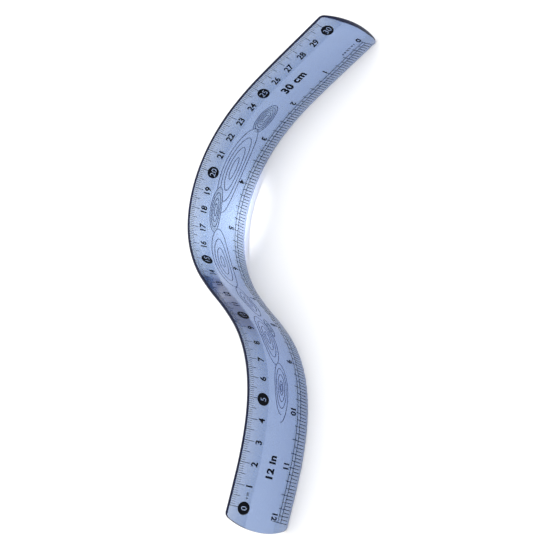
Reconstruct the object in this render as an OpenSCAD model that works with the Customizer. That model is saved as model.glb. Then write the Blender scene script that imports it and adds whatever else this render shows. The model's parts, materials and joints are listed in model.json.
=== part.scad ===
// Flexible plastic ruler, 30 cm and 12 in, standing on its inch edge in an S-bend.
// The strip is cut into short lengths joined by upright hinges, so that it can bend.
// X runs along the ruler from the 0 cm end, Y points away from the printed face, Z is up.

/* [Strip] */
// Length of each straight long edge, corner to corner
edge_length = 310; // [309:1:312]
// Width of the strip, from the inch edge up to the centimetre edge
strip_w = 35; // [34:0.5:38]
// Thickness of the strip between the two bevels
strip_t = 2.8; // [2.6:0.1:3.2]
// Thickness left at both long edges
edge_t = 1.3; // [1:0.1:1.6]
// Width of the bevel along the centimetre edge
metric_bevel = 10.5; // [9:0.5:12]
// Width of the bevel along the inch edge
inch_bevel = 8.5; // [7:0.5:9]
// How far each rounded end stands out past the corners
end_bulge = 4; // [3:0.5:5]
// Radius of the corners at both ends
corner_r = 1.6; // [1:0.1:2]

/* [Rest shape] */
// Turn of the first bend to the left, in degrees
left_turn = 87; // [60:1:90]
// Turn of the second bend to the right, in degrees
right_turn = 140; // [100:1:140]
// Where the left bend starts along the strip
left_from = 10; // [0:1:20]
// Where the left bend ends
left_to = 162; // [150:1:175]
// Where the right bend starts
right_from = 93; // [85:1:105]
// Where the right bend ends
right_to = 278; // [270:1:284]

/* [Hinges] */
// Distance between two hinge lines
pitch = 20; // [20:1:20]
// Bend that a hinge allows at the ends of the strip, either way from flat
end_bend = 8; // [7:0.5:8.5]
// Further bend that a hinge allows at the middle of the strip
more_bend = 16.5; // [16.5:0.5:17]
// Gap between two lengths at their hinge line
hinge_gap = 0.2; // [0.1:0.05:0.3]

/* [Print] */
// Thickness of the printed ink
ink_t = 0.08; // [0.05:0.01:0.1]
// Width of the tick lines
tick_w = 0.25; // [0.2:0.05:0.3]
// Width of the strokes of the figures
stroke_w = 0.45; // [0.35:0.05:0.5]
// Height of the centimetre figures
metric_figure = 3.2; // [2.8:0.1:3.4]
// Height of the inch figures
inch_figure = 2.7; // [2.4:0.1:2.8]
// Diameter of the round spots at every fifth centimetre
spot_d = 6; // [5.5:0.1:6.5]
// Width of the lines of the oval pattern
ring_w = 0.35; // [0.25:0.05:0.4]

/* [Hidden] */
inch = 25.4;
total = edge_length + 2 * end_bulge;
cm_zero = (total - 300) / 2;
inch_zero = (total + 12 * inch) / 2;
first_cut = cm_zero + 15;
hinges = 14;
// The two end lengths are swept a little long, and then rounded off
spare = 1;
cuts = [-spare, for (k = [0:hinges - 1]) first_cut + pitch * k, total + spare];
lengths = hinges + 1;
end_radius = (pow(strip_w / 2, 2) + pow(end_bulge, 2)) / (2 * end_bulge);
// A corner's middle lies this far from the tip of the end, and its arc turns this much
corner_x = end_radius - sqrt(pow(end_radius - corner_r, 2) - pow(strip_w / 2 - corner_r, 2));
corner_turn = acos((strip_w / 2 - corner_r) / (end_radius - corner_r));
tick_start = 0.4;
figure_line = strip_w - 7.6;
inch_figure_line = 9.7;
rail_out = 5.2;
rail_in = 7.1;
size_mark_line = 19.5;

// Oval groups: middle in cm, height above the inch edge, half length, half height, rings
ovals = [
    [5.8, 17, 13, 3.9, 4], [8.6, 19, 16.5, 4.2, 4], [9.5, 14.2, 7, 1.6, 2],
    [11.8, 15.8, 14, 3.6, 3], [15.2, 17.4, 20.5, 5.8, 4], [18.2, 20.6, 12.5, 3.4, 4],
    [20.58, 17.3, 24.1, 6.1, 4], [23.7, 16.8, 9.6, 4, 5]
];

// Strokes of the figures on a grid 2 wide and 4 high
figure_strokes = [
    [[[0, 0], [2, 0], [2, 4], [0, 4], [0, 0]]],
    [[[0.4, 3.2], [1.2, 4], [1.2, 0]]],
    [[[0, 4], [2, 4], [2, 2.2], [0, 0], [2, 0]]],
    [[[0, 4], [2, 4], [2, 0], [0, 0]], [[0.6, 2], [2, 2]]],
    [[[1.5, 0], [1.5, 4], [0, 1.2], [2, 1.2]]],
    [[[2, 4], [0, 4], [0, 2.3], [2, 2.3], [2, 0], [0, 0]]],
    [[[1.6, 4], [0, 2.2], [0, 0], [2, 0], [2, 2.2], [0, 2.2]]],
    [[[0, 4], [2, 4], [0.7, 0]]],
    [[[0, 0], [2, 0], [2, 4], [0, 4], [0, 0]], [[0, 2], [2, 2]]],
    [[[0.4, 0], [2, 1.8], [2, 4], [0, 4], [0, 1.8], [2, 1.8]]]
];
letter_c = [[[2, 0], [0, 0], [0, 2.6], [2, 2.6]]];
letter_m = [[[0, 0], [0, 2.6], [2.6, 2.6], [2.6, 0]], [[1.3, 0], [1.3, 2.6]]];
letter_i = [[[0.6, 0], [0.6, 2.6]], [[0.6, 3.5], [0.6, 4]]];
letter_n = [[[0, 0], [0, 2.6], [1.8, 2.6], [1.8, 0]]];

// Rest shape: each bend starts and ends softly
function ease(u) = u <= 0 ? 0 : u >= 1 ? 1 : (1 - cos(180 * u)) / 2;
function turn(s) = left_turn * ease((s - left_from) / (left_to - left_from))
    - right_turn * ease((s - right_from) / (right_to - right_from));
function span(i) = cuts[i + 1] - cuts[i];
function bend(i) = turn(cuts[i + 1]) - turn(cuts[i]);
function bent(i) = abs(bend(i)) > 0.05;
function radius(i) = span(i) / (abs(bend(i)) * PI / 180);

// Point at distance u along length i, from the start of that length
function along(i, u) = let (a = bend(i) * u / span(i))
    bent(i) ? radius(i) * [sin(abs(a)), sign(bend(i)) * (1 - cos(a))] : [u, 0];
function spin(p, a) = [p[0] * cos(a) - p[1] * sin(a), p[0] * sin(a) + p[1] * cos(a)];
function start(i, lead) = i == 0 ? [0, 0]
    : start(i - 1, lead) + spin(along(i - 1, span(i - 1)), lead + turn(cuts[i - 1]));

// The ends of the strip lie on a line along X, and the plan is centred on the origin
far_end = start(lengths, 0);
lead = -atan2(far_end[1], far_end[0]);
starts = [for (i = [0:lengths]) start(i, lead)];
function length_at(s) = max(0, min(hinges, 1 + floor((s - first_cut) / pitch)));
plan = [for (s = [0:total / 60:total]) let (i = length_at(s))
    starts[i] + spin(along(i, s - cuts[i]), lead + turn(cuts[i]))];
centre = [for (k = [0, 1]) let (v = [for (p = plan) p[k]]) (min(v) + max(v)) / 2];

// Each hinge bends this far either way from flat, and already stands bent at rest
function limit(k) = end_bend + more_bend * sin(180 * cuts[k] / total);
function rest_bend(k) = (bend(k - 1) + bend(k)) / 2;
function left_swing(k) = limit(k) - rest_bend(k);
function right_swing(k) = limit(k) + rest_bend(k);

function two(i) = str(i < 9 ? "0" : "", i + 1);
first_oval = 2;
last_oval = 12;
$fn = 360;

// Places its children in the frame of length i: X forward, Y to the left
module placed(i) {
    translate(starts[i] - centre) rotate(lead + turn(cuts[i])) children();
}

// Sweeps a section (X to the left of the middle line, Y up) along length i
module swept(i) {
    if (bent(i)) {
        r = radius(i);
        left = bend(i) > 0;
        translate([0, left ? r : -r]) rotate(left ? -90 : 90 + bend(i))
            rotate_extrude(angle = abs(bend(i)))
                translate([r, 0]) mirror([left ? 1 : 0, 0]) children();
    } else {
        rotate([90, 0, 90]) linear_extrude(span(i)) children();
    }
}

// What is cut from the end of a length so that its hinge k can swing both ways
module hinge_relief(k) {
    y = 4;
    back_left = hinge_gap / 2 + y * tan(left_swing(k) / 2 + 1);
    back_right = hinge_gap / 2 + y * tan(right_swing(k) / 2 + 1);
    translate([0, 0, -1]) linear_extrude(strip_w + 2)
        polygon([[-hinge_gap / 2, 0], [-back_left, y], [1, y], [1, -y], [-back_right, -y]]);
}

// A section swept along length i, with both hinge ends relieved
module length_of(i) {
    difference() {
        swept(i) children();
        if (i > 0) mirror([1, 0]) hinge_relief(i);
        if (i < lengths - 1) translate(along(i, span(i))) rotate(bend(i)) hinge_relief(i + 1);
    }
}

// Section of the strip: flat back, bevelled front
module strip_section() {
    polygon([
        [strip_t / 2, 0], [strip_t / 2, strip_w], [strip_t / 2 - edge_t, strip_w],
        [-strip_t / 2, strip_w - metric_bevel], [-strip_t / 2, inch_bevel],
        [strip_t / 2 - edge_t, 0]
    ]);
}

// Section of a skin of ink over the whole printed face
module ink_section() {
    face = [
        [strip_t / 2 - edge_t, 0], [-strip_t / 2, inch_bevel],
        [-strip_t / 2, strip_w - metric_bevel], [strip_t / 2 - edge_t, strip_w]
    ];
    polygon([for (p = face) p, for (k = [3:-1:0]) face[k] - [ink_t, 0]]);
}

// What lies outside the rounded lower corner of an end whose tip is at X = 0
module corner_trim() {
    steps = 5;
    arc = [for (k = [0:steps]) let (a = corner_turn * k / steps)
        [corner_x - corner_r * sin(a), corner_r - corner_r * cos(a)]];
    rotate([90, 0, 0]) linear_extrude(40, center = true)
        polygon([
            2 * arc[0] - arc[1], for (k = [1:steps - 1]) arc[k],
            2 * arc[steps] - arc[steps - 1], [-1, -1]
        ]);
}

// Rounds the free end of the strip: a wide disc gives the end's outline, then both corners go
module end_round(i, at_start) {
    u = at_start ? spare : span(i) - spare;
    difference() {
        intersection() {
            children();
            translate(along(i, u)) rotate(bend(i) * u / span(i))
                translate([at_start ? end_radius : -end_radius, 0, strip_w / 2])
                    rotate([90, 0, 0]) cylinder(r = end_radius, h = 40, center = true);
        }
        translate(along(i, u)) rotate(bend(i) * u / span(i)) mirror([at_start ? 0 : 1, 0, 0]) {
            corner_trim();
            translate([0, 0, strip_w]) mirror([0, 0, 1]) corner_trim();
        }
    }
}

// One length of the plastic strip
module strip(i) {
    color([0.62, 0.69, 0.84, 0.8]) placed(i) {
        if (i == 0) end_round(i, true) length_of(i) strip_section();
        else if (i == lengths - 1) end_round(i, false) length_of(i) strip_section();
        else length_of(i) strip_section();
    }
}

// Prints a flat drawing (X along the strip, Y up) on the face of length i.
// The drawing's X = 0 is the middle of the length.
module printed(i) {
    half = span(i) / 2;
    color([0.08, 0.1, 0.2]) placed(i) intersection() {
        length_of(i) ink_section();
        translate(along(i, half)) rotate(bend(i) / 2)
            translate([0, 1, 0]) rotate([90, 0, 0]) linear_extrude(5) children();
    }
}

function middle(i) = cuts[i] + span(i) / 2;
function near(i, s, reach) = s + reach > cuts[i] && s - reach < cuts[i + 1];

module line(a, b, w) {
    d = b - a;
    translate(a) rotate(atan2(d[1], d[0])) translate([-w / 2, -w / 2]) square([norm(d) + w, w]);
}

// Draws a figure or a letter from its strokes, with its lower left corner at the origin
module glyph(strokes, high, w) {
    g = (high - w) / 4;
    for (s = strokes) for (k = [1:len(s) - 1])
        line(s[k - 1] * g + [w / 2, w / 2], s[k] * g + [w / 2, w / 2], w);
}

// A number centred on the origin
module number(n, high, w) {
    wide = (high - w) / 2 + w;
    step = wide + w * 1.2;
    digits = n > 9 ? [floor(n / 10), n % 10] : [n];
    for (k = [0:len(digits) - 1])
        translate([(k - (len(digits) - 1) / 2) * step - wide / 2, -high / 2])
            glyph(figure_strokes[digits[k]], high, w);
}

// Ticks at every millimetre, figures at every centimetre, spots at every fifth
module metric_scale(i) {
    printed(i) {
        for (mm = [0:300]) if (near(i, cm_zero + mm, 0)) {
            high = mm % 10 == 0 ? 5.2 : mm % 5 == 0 ? 4.3 : 2.7;
            translate([cm_zero + mm - middle(i) - tick_w / 2, strip_w - high])
                square([tick_w, high - tick_start]);
        }
        for (cm = [0:30]) if (near(i, cm_zero + 10 * cm, 0))
            translate([cm_zero + 10 * cm - middle(i), figure_line]) {
                if (cm % 5 == 0) difference() {
                    circle(d = spot_d);
                    number(cm, spot_d * 0.42, stroke_w * 0.85);
                } else number(cm, metric_figure, stroke_w);
            }
    }
}

// Ticks at every sixteenth, two long rails, and figures that face the other way
module inch_scale(i) {
    marks = 12 * 16;
    printed(i) {
        for (k = [0:marks]) if (near(i, inch_zero - k * inch / 16, 0)) {
            high = k % 8 == 0 ? 9 : k % 4 == 0 ? 8.4 : k % 2 == 0 ? rail_in : rail_out;
            top = k % 16 == 0 ? inch_figure_line - inch_figure / 2 - 0.4 : high;
            translate([inch_zero - k * inch / 16 - middle(i) - tick_w / 2, 1.2])
                square([tick_w, top - 1.2]);
        }
        for (k = [0:12]) if (near(i, inch_zero - k * inch, 3))
            translate([inch_zero - k * inch - middle(i) + (k == 12 ? 2.2 : 0), inch_figure_line])
                rotate(180) number(k, inch_figure, stroke_w * 0.9);
        low = max(cuts[i], inch_zero - 12 * inch) - middle(i);
        high = min(cuts[i + 1], inch_zero) - middle(i);
        for (z = [rail_out, rail_in])
            translate([low, z - tick_w / 2]) square([high - low, tick_w]);
    }
}

function oval(a, b) = [for (k = [0:10:350]) [a * cos(k), b * sin(k)]];

// The rings of each oval group that reach length i
module oval_pattern(i) {
    printed(i) for (g = ovals) if (near(i, cm_zero + 10 * g[0], g[2]))
        translate([cm_zero + 10 * g[0] - middle(i), g[1]])
            for (k = [1:g[4]]) let (f = k / g[4]) difference() {
                polygon(oval(g[2] * f, g[3] * f));
                polygon(oval(g[2] * f - ring_w, g[3] * f - ring_w));
            }
}

// Plain size marks
module size_mark_metric() {
    i = lengths - 2;
    high = 3.6;
    w = 0.5;
    printed(i) translate([0, size_mark_line]) {
        translate([-4.2, 0]) number(30, high, w);
        translate([0.6, -high / 2]) glyph(letter_c, high, w);
        translate([3.4, -high / 2]) glyph(letter_m, high, w);
    }
}

module size_mark_inch() {
    i = 1;
    high = 2.4;
    w = 0.4;
    printed(i) translate([-1, size_mark_line - 1]) {
        translate([-2.4, 0]) number(12, high, w);
        translate([0.6, -high / 2]) glyph(letter_i, high, w);
        translate([2.4, -high / 2]) glyph(letter_n, high, w);
    }
}

for (i = [0:lengths - 1]) {
    strip(i);
    metric_scale(i);
    inch_scale(i);
}
for (i = [first_oval:last_oval])
    oval_pattern(i);
size_mark_metric();
size_mark_inch();
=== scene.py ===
import json
import math

import bmesh
import bpy
from mathutils import Matrix, Vector


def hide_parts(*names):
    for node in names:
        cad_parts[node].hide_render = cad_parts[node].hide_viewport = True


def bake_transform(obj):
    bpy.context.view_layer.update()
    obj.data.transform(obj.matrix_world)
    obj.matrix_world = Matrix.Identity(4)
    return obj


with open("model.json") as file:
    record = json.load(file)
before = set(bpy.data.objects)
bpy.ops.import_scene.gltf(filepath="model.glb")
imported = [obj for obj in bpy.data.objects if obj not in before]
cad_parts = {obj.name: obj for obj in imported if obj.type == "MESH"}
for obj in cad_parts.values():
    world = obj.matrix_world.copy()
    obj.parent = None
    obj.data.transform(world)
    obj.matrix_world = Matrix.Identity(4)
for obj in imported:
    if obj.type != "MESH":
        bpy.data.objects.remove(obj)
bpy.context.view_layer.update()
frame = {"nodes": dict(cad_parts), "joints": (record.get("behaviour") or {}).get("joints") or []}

# A soft clear PVC ruler, 30 cm and 12 in, that stands on its inch edge in an S-bend.
# It is drawn straight and in millimetres: X from the 0 cm end, the printed face towards -Y,
# Z from the inch edge up to the centimetre edge. Then it is cut into short sections,
# each is bent along the line of the hinges.

mm = 0.001
inch = 25.4

ruler = {
    "edgeLength": 310,       # straight long edges, corner to corner
    "endBulge": 4,           # how far the round ends stand out past the corners
    "cornerRadius": 1.6,
    "width": 35,
    "thickness": 2.8,
    "edgeThickness": 1.3,    # left at both long edges
    "metricBevel": 10.5,     # width of the bevel along the centimetre edge
    "inchBevel": 8.5,
    "edgeRounding": 0.2,
    "paintedDarkEdge": 0.42,        # strip of the face beside the centimetre edge that is painted dark with the rim, as painted shade
    "cornerReach": 6,        # the columns this near to an end are drawn in for its corners
}
rulerLength = ruler["edgeLength"] + 2 * ruler["endBulge"]
metricCrease = ruler["width"] - ruler["metricBevel"]
inchCrease = ruler["inchBevel"]
cmZero = (rulerLength - 300) / 2
inchZero = (rulerLength + 12 * inch) / 2
near = 0.01

sections = {
    "firstHinge": cmZero + 15,
    "pitch": 20,             # from hinge to hinge
    "cutPast": 10.5,         # a cut lies this far past a hinge, clear of every tick
}
joints = sorted(frame["joints"], key=lambda joint: joint["name"])


def deselectAll():
    if bpy.context.object and bpy.context.object.mode != "OBJECT":
        bpy.ops.object.mode_set(mode="OBJECT")
    bpy.ops.object.select_all(action="DESELECT")


def workOn(piece):
    deselectAll()
    bpy.context.view_layer.objects.active = piece
    piece.select_set(True)
    return piece


def applyPlace(piece):
    workOn(piece)
    bpy.ops.object.transform_apply(location=True, rotation=True, scale=True)
    return piece


def addModifier(piece, kind, **settings):
    # adds a modifier and applies it at once
    workOn(piece)
    modifier = piece.modifiers.new(kind.title(), kind)
    for name, value in settings.items():
        setattr(modifier, name, value)
    bpy.ops.object.modifier_apply(modifier=modifier.name)


def pick(piece, kind, test):
    # in edit mode: selects the verts, edges or faces that pass the test
    bpy.ops.mesh.select_mode(type={"verts": "VERT", "edges": "EDGE", "faces": "FACE"}[kind])
    bpy.ops.mesh.select_all(action="DESELECT")
    mesh = bmesh.from_edit_mesh(piece.data)
    for item in getattr(mesh, kind):
        if test(item):
            item.select_set(True)
    mesh.select_flush_mode()
    bmesh.update_edit_mesh(piece.data)


def bisectAll(place, direction, **settings):
    bpy.ops.mesh.select_all(action="SELECT")
    bpy.ops.mesh.bisect(plane_co=place, plane_no=direction, **settings)


def joined(pieces, name):
    workOn(pieces[0])
    for piece in pieces:
        piece.select_set(True)
    bpy.ops.object.join()
    pieces[0].name = name
    return pieces[0]


def makeFlatStrip():
    high = ruler["width"]
    deselectAll()
    bpy.ops.mesh.primitive_cube_add(size=1, location=(rulerLength / 2, 0, high / 2),
                                    scale=(ruler["edgeLength"], ruler["thickness"], high))
    strip = applyPlace(bpy.context.object)
    strip.name = "flatStrip"
    bpy.ops.object.mode_set(mode="EDIT")
    for crease in (inchCrease, metricCrease):
        bisectAll((0, 0, crease), (0, 0, 1))
    # the front of both long edges goes back, which slopes the two bevels
    pick(strip, "verts", lambda v: v.co.y < 0 and not near < v.co.z < high - near)
    bpy.ops.transform.translate(value=(0, ruler["thickness"] - ruler["edgeThickness"], 0))
    for row in (ruler["paintedDarkEdge"], high - ruler["paintedDarkEdge"]):
        bisectAll((0, 0, row), (0, 0, 1))
    # 31 by 10 columns, 1 mm apart, so that the strip bends smoothly, and rows for the ends
    longEdge = 1.5
    for cuts in (30, 9):
        pick(strip, "edges", lambda e: abs(e.verts[0].co.x - e.verts[1].co.x) > longEdge)
        bpy.ops.mesh.subdivide(number_cuts=cuts)
    pick(strip, "edges", lambda e: abs(e.verts[0].co.z - e.verts[1].co.z) > longEdge)
    bpy.ops.mesh.subdivide(number_cuts=9)
    # the ends bulge out in an arc through the corners, and the corners are rounded off
    half, bulge, corner = high / 2, ruler["endBulge"], ruler["cornerRadius"]
    radius = (half ** 2 + bulge ** 2) / (2 * bulge)
    mesh = bmesh.from_edit_mesh(strip.data)
    for vert in mesh.verts:
        fromEnd = min(vert.co.x, rulerLength - vert.co.x) - bulge
        fromEdge = min(vert.co.z, high - vert.co.z)
        out = 0
        if fromEnd < near:
            out = math.sqrt(radius ** 2 - (vert.co.z - half) ** 2) - (radius - bulge)
        if fromEdge < corner:
            back = corner - math.sqrt(corner ** 2 - (corner - fromEdge) ** 2)
            out -= back * max(0, 1 - fromEnd / ruler["cornerReach"])
        vert.co.x += out if vert.co.x > rulerLength / 2 else -out
    bmesh.update_edit_mesh(strip.data)
    bpy.ops.object.mode_set(mode="OBJECT")
    addModifier(strip, "BEVEL", width=ruler["edgeRounding"], segments=3, limit_method="ANGLE",
                angle_limit=math.radians(40))
    return strip


sheetAt = -20                # the print is drawn flat in front of the strip, at this Y
capHeight = 0.729            # of the built-in font, for a size of 1


def bar(left, right, low, high):
    # a flat rectangle of ink that faces the front
    deselectAll()
    bpy.ops.mesh.primitive_plane_add(size=1)
    piece = bpy.context.object
    piece.scale = (right - left, high - low, 1)
    piece.rotation_euler = (math.pi / 2, 0, 0)
    piece.location = ((left + right) / 2, sheetAt, (low + high) / 2)
    return applyPlace(piece)


def rowOf(piece, count, step):
    addModifier(piece, "ARRAY", count=count, use_relative_offset=False,
                use_constant_offset=True, constant_offset_displace=(step, 0, 0))
    return piece


def figure(words, x, z, high, turned=False, weight=0.02, spacing=1.0, knockedOutOf=0):
    # text of a given height, centred; knocked out of a round spot if that has a diameter
    deselectAll()
    bpy.ops.object.text_add()
    text = bpy.context.object
    text.data.body = words
    text.data.align_x = "CENTER"
    text.data.offset = weight
    text.data.space_character = spacing
    text.data.resolution_u = 4
    bpy.ops.object.convert(target="CURVE")
    text = bpy.context.object
    text.scale = [high / capHeight] * 3
    text.location = (0, -high / 2, 0)
    if knockedOutOf:
        bpy.ops.curve.primitive_bezier_circle_add(radius=knockedOutOf / 2)
        circle = bpy.context.object
        circle.data.dimensions = "2D"
        circle.data.resolution_u = 16
        text = joined([circle, text], words)
        text.data.dimensions = "2D"
        text.data.fill_mode = "BOTH"
    workOn(text)
    bpy.ops.object.convert(target="MESH")
    text = applyPlace(bpy.context.object)
    text.rotation_euler = (math.pi / 2, math.pi if turned else 0, 0)
    text.location = (x, sheetAt, z)
    return applyPlace(text)


metricScale = {
    "starts": 0.45,          # gap between a tick and the edge
    "ticks": {1: (0.16, 2.7), 5: (0.22, 4.3), 10: (0.24, 5.2)},  # every so many mm: width, reach
    "figures": 3.2,          # height of the figures
    "figureLine": 27.4,      # their middle, above the inch edge
    "weight": 0.03,
    "spot": 6,               # diameter of the black spots
    "spotFigures": 3.0,
    "unitAt": 5.8,           # from the zero to the middle of the unit word
    "unitFigures": 1.5,
    "unitSpacing": 1.6,
}


def makeMetricScale():
    top, line = ruler["width"], metricScale["figureLine"]
    parts = []
    for step, (tick, reach) in metricScale["ticks"].items():
        first = bar(cmZero - tick / 2, cmZero + tick / 2, top - reach, top - metricScale["starts"])
        parts.append(rowOf(first, 300 // step + 1, step))
    for cm in range(31):
        x = cmZero + 10 * cm
        if cm % 5:
            parts.append(figure(str(cm), x, line, metricScale["figures"], weight=metricScale["weight"]))
        else:
            parts.append(figure(str(cm), x, line, metricScale["spotFigures"], weight=metricScale["weight"],
                                knockedOutOf=metricScale["spot"]))
    parts.append(figure("cm", cmZero + metricScale["unitAt"], line, metricScale["unitFigures"],
                        spacing=metricScale["unitSpacing"]))
    return joined(parts, "flatMetricPrint")


inchScale = {
    "tick": 0.3,
    "starts": 1.2,           # height of the lower end of each tick
    "rails": (5.2, 7.1),     # the two long lines, which stop the 1/16 and the 1/8 ticks
    "whole": 8.0,            # reach of the other ticks
    "quarter": 8.4,
    "half": 9.0,
    "last": 10.2,
    "figures": 2.9,
    "figureLine": 9.8,
    "weight": 0.04,
    "lastShift": 2.2,        # the last figure stands beside its tick
    "unitAt": 7.4,
    "unitFigures": 1.5,
    "unitSpacing": 1.7,
}


def makeInchScale():
    tick, starts = inchScale["tick"], inchScale["starts"]
    lowRail, highRail = inchScale["rails"]
    left, right = inchZero - 12 * inch - tick / 2, inchZero + tick / 2
    parts = [bar(left, right, rail - tick / 2, rail + tick / 2) for rail in inchScale["rails"]]
    # each row of ticks stops at the rails, and the longer ones go on above them
    low, middle, high = starts, lowRail + tick / 2, highRail + tick / 2
    parts.append(rowOf(bar(left, left + tick, low, lowRail - tick / 2), 12 * 16 + 1, inch / 16))
    parts.append(rowOf(bar(left, left + tick, middle, highRail - tick / 2), 12 * 8 + 1, inch / 8))
    parts.append(rowOf(bar(left, left + tick, high, inchScale["whole"]), 12 + 1, inch))
    first = bar(left + inch / 4, left + inch / 4 + tick, high, inchScale["quarter"])
    parts.append(rowOf(rowOf(first, 3, inch / 4), 12, inch))
    first = bar(left + inch / 2, left + inch / 2 + tick, inchScale["quarter"], inchScale["half"])
    parts.append(rowOf(first, 12, inch))
    parts.append(bar(left, left + tick, inchScale["whole"], inchScale["last"]))
    for number in range(13):
        x = inchZero - inch * number + (inchScale["lastShift"] if number == 12 else 0)
        parts.append(figure(str(number), x, inchScale["figureLine"], inchScale["figures"],
                            turned=True, weight=inchScale["weight"]))
    parts.append(figure("inches", inchZero - inchScale["unitAt"], inchScale["figureLine"],
                        inchScale["unitFigures"], turned=True, spacing=inchScale["unitSpacing"]))
    return joined(parts, "flatInchPrint")


# Oval groups from the 0 cm end. Middle in cm and its height, half length and half height,
# the size of each ring as a share of that, and of a thinly tinted disc behind the rings.
# A group hides the part of the next one that it covers.
ovalGroups = [
    {"cm": 5.8, "z": 17, "half": (13, 3.9), "rings": (1, 0.77, 0.53, 0.29, 0.16), "disc": 0},
    {"cm": 8.6, "z": 19, "half": (16.5, 4.2), "rings": (1, 0.75, 0.5, 0.26), "disc": 0},
    {"cm": 11.8, "z": 15.8, "half": (14, 3.6), "rings": (1, 0.68, 0.36), "disc": 0},
    {"cm": 15.2, "z": 17.4, "half": (20.5, 5.8), "rings": (1, 0.72, 0.46, 0.2), "disc": 0},
    {"cm": 18.2, "z": 20.6, "half": (12.5, 3.4), "rings": (1, 0.76, 0.52, 0.28), "disc": 0.98},
    {"cm": 20.58, "z": 17.3, "half": (24.1, 6.1), "rings": (1, 0.755, 0.512, 0.26), "disc": 0},
    {"cm": 23.7, "z": 16.8, "half": (9.6, 4), "rings": (1, 0.82, 0.64, 0.46, 0.28), "disc": 0.98},
]
smallLens = {"cm": 9.5, "z": 14.2, "half": (7, 1.6), "rings": (1, 0.5), "disc": 1}
openTail = {"cm": 5.8, "z": 17, "half": (16.5, 3.9)}
ringWidth = 0.36
ringVerts = 192


def ellipse(group, share):
    deselectAll()
    bpy.ops.mesh.primitive_circle_add(vertices=ringVerts, radius=1, fill_type="NGON")
    piece = bpy.context.object
    piece.scale = (group["half"][0] * share, group["half"][1] * share, 1)
    piece.rotation_euler = (math.pi / 2, 0, 0)
    piece.location = (cmZero + 10 * group["cm"], sheetAt, group["z"])
    return applyPlace(piece)


def within(group, place):
    across = (place.x - cmZero - 10 * group["cm"]) / group["half"][0]
    up = (place.z - group["z"]) / group["half"][1]
    return across ** 2 + up ** 2 < 1


def ring(group, share, hidden):
    # one thin line, without the faces that the test hides
    piece = ellipse(group, share)
    bpy.ops.object.mode_set(mode="EDIT")
    bpy.ops.mesh.select_all(action="SELECT")
    bpy.ops.mesh.inset(thickness=ringWidth)
    bpy.ops.mesh.delete(type="FACE")
    pick(piece, "faces", lambda face: hidden(face.calc_center_median()))
    bpy.ops.mesh.delete(type="FACE")
    bpy.ops.object.mode_set(mode="OBJECT")
    return piece


def makeOvals():
    first = ovalGroups[0]

    def lowQuarter(place):
        return place.x < cmZero + 10 * first["cm"] and place.z < first["z"]

    rings = [ring(first, first["rings"][0], lowQuarter),
             ring(openTail, 1, lambda place: not lowQuarter(place))]
    rings += [ring(first, share, lambda place: False) for share in first["rings"][1:]]
    rings += [ring(smallLens, share, lambda place: False) for share in smallLens["rings"]]
    for group, nearer in zip(ovalGroups[1:], ovalGroups):
        rings += [ring(group, share, lambda place: within(nearer, place)) for share in group["rings"]]
    discs = [ellipse(group, group["disc"]) for group in [*ovalGroups, smallLens] if group["disc"]]
    return joined(rings, "flatOvalPrint"), joined(discs, "flatOvalDiscs")


sizeMarks = {
    "30 cm": {"fromZero": 263.5, "z": 19.2, "high": 4.4},
    "12 in": {"fromZero": 20.5, "z": 18.2, "high": 3.8},
}
markWeight = 0.045
markSpacing = 1.1


def makeSizeMark(words):
    mark = sizeMarks[words]
    return figure(words, cmZero + mark["fromZero"], mark["z"], mark["high"],
                  weight=markWeight, spacing=markSpacing)


filmOffset = 0.6             # a film lies mostly in front of the face, and a little in it


def layOn(sheet, strip, thickness):
    # cuts the print at the creases and each millimetre, then lays it on the strip's face
    workOn(sheet)
    bpy.ops.object.mode_set(mode="EDIT")
    for crease in (inchCrease, metricCrease):
        bisectAll((0, 0, crease), (0, 0, 1))
    for column in range(int(rulerLength)):
        bisectAll((column + 0.5, 0, 0), (1, 0, 0))
    bpy.ops.mesh.select_all(action="SELECT")
    bpy.ops.mesh.remove_doubles(threshold=0.002)
    bpy.ops.object.mode_set(mode="OBJECT")
    addModifier(sheet, "SHRINKWRAP", target=strip, wrap_method="PROJECT", use_project_y=True,
                use_negative_direction=False, use_positive_direction=True)
    addModifier(sheet, "SOLIDIFY", thickness=thickness, offset=filmOffset)


restShape = {
    "leftTurn": 87,          # of the first bend, in degrees
    "leftSpan": (10, 162),   # where it starts and ends along the strip
    "rightTurn": 140,
    "rightSpan": (93, 278),
}


def ease(start, end, at):
    share = min(max((at - start) / (end - start), 0), 1)
    return (1 - math.cos(math.pi * share)) / 2


def turn(at):
    return math.radians(restShape["leftTurn"] * ease(*restShape["leftSpan"], at)
                        - restShape["rightTurn"] * ease(*restShape["rightSpan"], at))


def hingeAt(k):
    return sections["firstHinge"] + sections["pitch"] * k


def heading(at):
    # the strip is an even arc from each hinge to the next
    stations = [-1, *[hingeAt(k) for k in range(len(joints))], rulerLength + 1]
    for start, end in zip(stations, stations[1:]):
        if at <= end:
            return turn(start) + (turn(end) - turn(start)) * (at - start) / (end - start)


lineStep = 0.5


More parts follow.
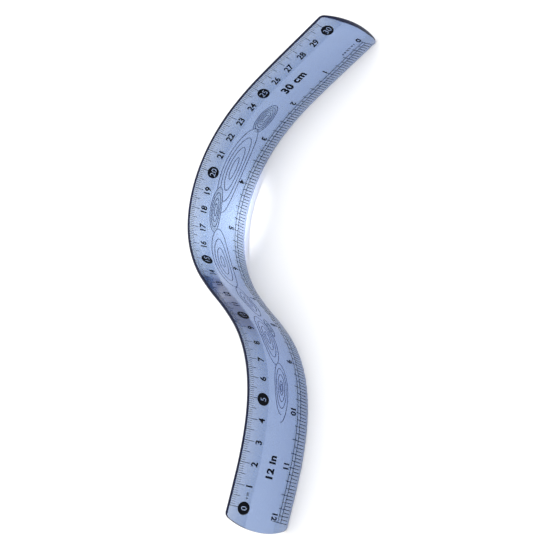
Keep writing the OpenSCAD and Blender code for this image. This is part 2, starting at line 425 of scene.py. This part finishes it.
def makeBendLine():
    # a line of short steps, turned and moved so that it runs through the hinges
    points = [Vector((0, 0, 0))]
    for k in range(round(rulerLength / lineStep)):
        angle = heading((k + 0.5) * lineStep)
        points.append(points[-1] + Vector((math.cos(angle), math.sin(angle), 0)) * lineStep)
    hinges = [Vector((*joint["pos_m"][:2], 0)) / mm for joint in joints]
    ownHinges = [points[round(hingeAt(k) / lineStep)] for k in range(len(joints))]
    wanted, own = hinges[-1] - hinges[0], ownHinges[-1] - ownHinges[0]
    angle = math.atan2(wanted.y, wanted.x) - math.atan2(own.y, own.x)
    place = (Matrix.Translation(hinges[0]) @ Matrix.Rotation(angle, 4, "Z")
             @ Matrix.Translation(-ownHinges[0]))
    points = [place @ point for point in points]
    data = bpy.data.curves.new("bendLine", "CURVE")
    data.dimensions = "3D"
    data.twist_mode = "Z_UP"
    spline = data.splines.new("POLY")
    spline.points.add(len(points) - 1)
    for item, point in zip(spline.points, points):
        item.co = (*point, 1)
    line = bpy.data.objects.new("bendLine", data)
    bpy.context.scene.collection.objects.link(line)
    print("bend line misses the hinges by mm:",
          max((place @ own - hinge).length for own, hinge in zip(ownHinges, hinges)))
    return line, points


def cutOut(flat, name, start, end):
    # a copy of the part of a flat piece between two cuts, with both cuts closed
    workOn(flat)
    bpy.ops.object.duplicate()
    piece = bpy.context.object
    piece.name = name
    piece.data.name = name
    bpy.ops.object.mode_set(mode="EDIT")
    if start is not None:
        bisectAll((start, 0, 0), (1, 0, 0), clear_inner=True, use_fill=True)
    if end is not None:
        bisectAll((end, 0, 0), (1, 0, 0), clear_outer=True, use_fill=True)
    bpy.ops.object.mode_set(mode="OBJECT")
    if not piece.data.vertices:
        bpy.data.objects.remove(piece)
        return None
    return piece


def linear(hexColour):
    # sRGB hex to the linear colour that a shader takes
    values = [int(hexColour[k:k + 2], 16) / 255 for k in (1, 3, 5)]
    return (*[v / 12.92 if v <= 0.04045 else ((v + 0.055) / 1.055) ** 2.4 for v in values], 1)


def addNode(tree, kind, inputs=None, **settings):
    node = tree.nodes.new(kind)
    for name, value in settings.items():
        setattr(node, name, value)
    for name, value in (inputs or {}).items():
        if isinstance(value, bpy.types.NodeSocket):
            tree.links.new(value, node.inputs[name])
        else:
            node.inputs[name].default_value = value
    return node


def newMaterial(name):
    material = bpy.data.materials.new(name)
    material.use_nodes = True
    tree = material.node_tree
    tree.nodes.clear()
    return material, tree, addNode(tree, "ShaderNodeOutputMaterial")


pvc = {
    "keptPerMm": (0.74, 0.81, 0.90),  # of red, green and blue light, inside the plastic
    "milky": "#7F93C6",
    # the bevels get a darker milky colour than the flat: painted shade for how light darkens the sloped
    # plastic and the band along the centimetre bevel
    "shadedBevelMilky": "#44619E",
    "milkiness": 0.34,
    "shadedBevelMilkiness": 0.33,
    "cast": "#C8D4F4",       # tint of the light that falls through the strip
    "roughness": 0.08,
    "ior": 1.53,
    # the rim colour is painted shade: the dark look of the cut edges, where light has run a long way inside
    # the plastic
    "rim": "#0A1230",
}


def clearPvc(name, milky, milkiness):
    # calendered soft PVC with a blue tint: glossy, clear but a little milky, and light that
    # runs a long way inside it turns dark blue
    material, tree, output = newMaterial(name)
    path = addNode(tree, "ShaderNodeLightPath")
    side = addNode(tree, "ShaderNodeNewGeometry")
    inMm = addNode(tree, "ShaderNodeMath", {0: path.outputs["Ray Length"], 1: 1 / mm}, operation="MULTIPLY")
    way = addNode(tree, "ShaderNodeMath", {0: inMm.outputs[0], 1: side.outputs["Backfacing"]},
                  operation="MULTIPLY")
    kept = [addNode(tree, "ShaderNodeMath", {0: share, 1: way.outputs[0]}, operation="POWER")
            for share in pvc["keptPerMm"]]
    tint = addNode(tree, "ShaderNodeCombineColor", {k: node.outputs[0] for k, node in enumerate(kept)})
    clear = addNode(tree, "ShaderNodeBsdfGlass", {
        "Color": tint.outputs[0],
        "Roughness": pvc["roughness"],
        "IOR": pvc["ior"],
    })
    milk = addNode(tree, "ShaderNodeBsdfPrincipled", {
        "Base Color": linear(milky),
        "Roughness": pvc["roughness"],
        "IOR": pvc["ior"],
    })
    sheet = addNode(tree, "ShaderNodeMixShader", {
        0: milkiness, 1: clear.outputs[0], 2: milk.outputs[0]})
    # lamps shine through it
    lit = addNode(tree, "ShaderNodeBsdfTransparent", {"Color": linear(pvc["cast"])})
    whole = addNode(tree, "ShaderNodeMixShader", {
        0: path.outputs["Is Shadow Ray"], 1: sheet.outputs[0], 2: lit.outputs[0]})
    tree.links.new(whole.outputs[0], output.inputs["Surface"])
    return material


def rimPvc():
    # the trimmed rim, painted nearly black blue: painted shade for the dark look that light gives where it
    # has run a long way inside the sheet and leaves here
    material, tree, output = newMaterial("trimmed PVC rim")
    shader = addNode(tree, "ShaderNodeBsdfPrincipled", {
        "Base Color": linear(pvc["rim"]),
        "Roughness": 0.35,
        "Specular IOR Level": 0.12,
    })
    tree.links.new(shader.outputs[0], output.inputs["Surface"])
    return material


def insideOfSheet():
    # closes a section where the next one goes on: nothing to see
    material, tree, output = newMaterial("inside of the sheet")
    shader = addNode(tree, "ShaderNodeBsdfTransparent", {"Color": (1, 1, 1, 1)})
    tree.links.new(shader.outputs[0], output.inputs["Surface"])
    return material


def printInk(name, colour, cover=1):
    # screen-printed ink: a thin matt film, which lets some light through where it is thin
    material, tree, output = newMaterial(name)
    film = addNode(tree, "ShaderNodeBsdfPrincipled", {
        "Base Color": linear(colour),
        "Roughness": 0.6,
        "Specular IOR Level": 0.06,
        "Alpha": cover,
    })
    tree.links.new(film.outputs[0], output.inputs["Surface"])
    return material


endFacing = 0.4              # along X: the faces of the round ends and their rounded edges
cutFacing = 0.99             # along X: the face of a cut


def paintStrip(flat, materials):
    # 0 the flat faces, 1 the bevels, in a darker copy of the sheet as painted shade, 2 the rim, painted
    # dark as shade: both ends and the centimetre edge
    flat.data.materials.clear()
    for material in materials:
        flat.data.materials.append(material)
    high = ruler["width"]
    for face in flat.data.polygons:
        z = face.center.z
        front = face.normal.y < 0
        if abs(face.normal.x) > endFacing or z > high - ruler["paintedDarkEdge"]:
            face.material_index = 2
        elif front and not inchCrease < z < metricCrease:
            face.material_index = 1


def paintCuts(piece, cuts):
    # 3 the inside, where a section ends and the next one goes on
    for face in piece.data.polygons:
        if abs(face.normal.x) > cutFacing and any(abs(face.center.x - cut) < near for cut in cuts):
            face.material_index = 3


flatStrip = makeFlatStrip()
print("strip:", len(flatStrip.data.polygons), "faces")
metricPrint = makeMetricScale()
inchPrint = makeInchScale()
ovalPrint, ovalDiscs = makeOvals()
metricMark, inchMark = makeSizeMark("30 cm"), makeSizeMark("12 in")
filmThickness = 0.05
discThickness = 0.02
for flatPrint in (metricPrint, inchPrint, ovalPrint, metricMark, inchMark):
    layOn(flatPrint, flatStrip, filmThickness)
    print("print:", flatPrint.name, len(flatPrint.data.polygons), "faces")
layOn(ovalDiscs, flatStrip, discThickness)

# the bevelled faces take a darker copy of the sheet material: painted shade
paintStrip(flatStrip, (clearPvc("clear tinted PVC", pvc["milky"], pvc["milkiness"]),
                       clearPvc("clear bevelled PVC", pvc["shadedBevelMilky"], pvc["shadedBevelMilkiness"]),
                       rimPvc(), insideOfSheet()))
scaleInk = printInk("screen-print ink", "#04070F")
ovalInk = printInk("thin screen-print ink", "#36457A", cover=0.7)
discInk = printInk("thin grey lacquer", "#94A8B0", cover=0.15)
for flatPrint in (metricPrint, inchPrint, metricMark, inchMark, ovalPrint, ovalDiscs):
    flatPrint.data.materials.clear()
    flatPrint.data.materials.append({ovalPrint: ovalInk, ovalDiscs: discInk}.get(flatPrint, scaleInk))
ovalPrint = joined([ovalPrint, ovalDiscs], "flatOvalPrint")

bendLine, linePoints = makeBendLine()
cuts = [hingeAt(k) + sections["cutPast"] for k in range(len(joints) - 1)]
ends = [None] + cuts + [None]


def pointAt(at):
    return linePoints[round(min(max(at, 0), rulerLength) / lineStep)] * mm


kinds = [
    (flatStrip, "strip", "strip_"),
    (metricPrint, "metric_print", "metric_scale_"),
    (inchPrint, "inch_print", "inch_scale_"),
    (ovalPrint, "oval_print", "oval_pattern_"),
    (metricMark, "size_print_30cm", "size_mark_metric"),
    (inchMark, "size_print_12in", "size_mark_inch"),
]
for k in range(len(joints)):
    start, end = ends[k], ends[k + 1]
    numbers = [k + 1, k + 2] if k == len(joints) - 1 else [k + 1]
    for flat, name, nodeStem in kinds:
        single = nodeStem in frame["nodes"]
        piece = cutOut(flat, name if single else f"{name}_{k + 1:02d}", start, end)
        if piece is None:
            continue
        if flat is flatStrip:
            paintCuts(piece, [cut for cut in (start, end) if cut])
        addModifier(piece, "CURVE", object=bendLine, deform_axis="POS_X")
        piece.data.transform(Matrix.Scale(mm, 4))
        bpy.ops.object.shade_smooth_by_angle(angle=math.radians(25))
        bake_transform(piece)
        nodes = [nodeStem] if single else [f"{nodeStem}{number:02d}" for number in numbers]
        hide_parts(*[node for node in nodes if node in frame["nodes"]])
print("sections:", len(joints))

for kind in kinds:
    bpy.data.objects.remove(kind[0])
bpy.data.objects.remove(bendLine)


studio = {
    "floor": "#FFFFFF",
    "floorSize": 6,
    "world": 1.3,
}
# a small soft lamp behind the strip brightens the floor that shows through its lower half
backLamp = {
    "at": 181,               # along the centimetre scale
    "behind": (0.0033, 0.0136, 0),  # from the strip to the middle of the lit patch, in metres
    "from": (0.01, 0.035, 0.33),
    "power": 10.5,
    "cone": 6.5,
    "softness": 0.35,
    "size": 0.02,
}


def makeStudio():
    deselectAll()
    bpy.ops.mesh.primitive_plane_add(size=studio["floorSize"])
    floor = bpy.context.object
    floor.name = "floor"
    material, tree, output = newMaterial("pale studio floor")
    shader = addNode(tree, "ShaderNodeBsdfPrincipled", {
        "Base Color": linear(studio["floor"]),
        "Roughness": 0.9,
        "Specular IOR Level": 0.0,
    })
    tree.links.new(shader.outputs[0], output.inputs["Surface"])
    floor.data.materials.append(material)

    world = bpy.data.worlds.new("studio")
    bpy.context.scene.world = world
    world.use_nodes = True
    background = world.node_tree.nodes["Background"]
    background.inputs["Color"].default_value = (1, 1, 1, 1)
    background.inputs["Strength"].default_value = studio["world"]

    lamp = bpy.data.lights.new("backLamp", "SPOT")
    lamp.energy = backLamp["power"]
    lamp.spot_size = math.radians(backLamp["cone"])
    lamp.spot_blend = backLamp["softness"]
    lamp.shadow_soft_size = backLamp["size"]
    target = pointAt(cmZero + backLamp["at"]) + Vector(backLamp["behind"])
    lampObject = bpy.data.objects.new("backLamp", lamp)
    bpy.context.scene.collection.objects.link(lampObject)
    lampObject.location = target + Vector(backLamp["from"])
    lampObject.rotation_euler = Vector(backLamp["from"]).to_track_quat("Z", "Y").to_euler()


cameraPose = {
    "place": (-0.1722, -0.7265, 0.5230),
    "looks": (0.1928, 0.7995, -0.5689),
    "pictureUp": (0.9617, -0.0388, 0.2714),
    "lens": 122.9,
}


def makeCamera():
    back = -Vector(cameraPose["looks"]).normalized()
    right = Vector(cameraPose["pictureUp"]).cross(back).normalized()
    data = bpy.data.cameras.new("camera")
    data.sensor_width = 36
    data.lens = cameraPose["lens"]
    camera = bpy.data.objects.new("camera", data)
    bpy.context.scene.collection.objects.link(camera)
    axes = Matrix((right, back.cross(right), back)).transposed().to_4x4()
    camera.matrix_world = Matrix.Translation(Vector(cameraPose["place"])) @ axes
    bpy.context.scene.camera = camera


makeStudio()
makeCamera()
bpy.context.scene.view_settings.view_transform = "Standard"
print("studio: floor, world, lamp and camera")
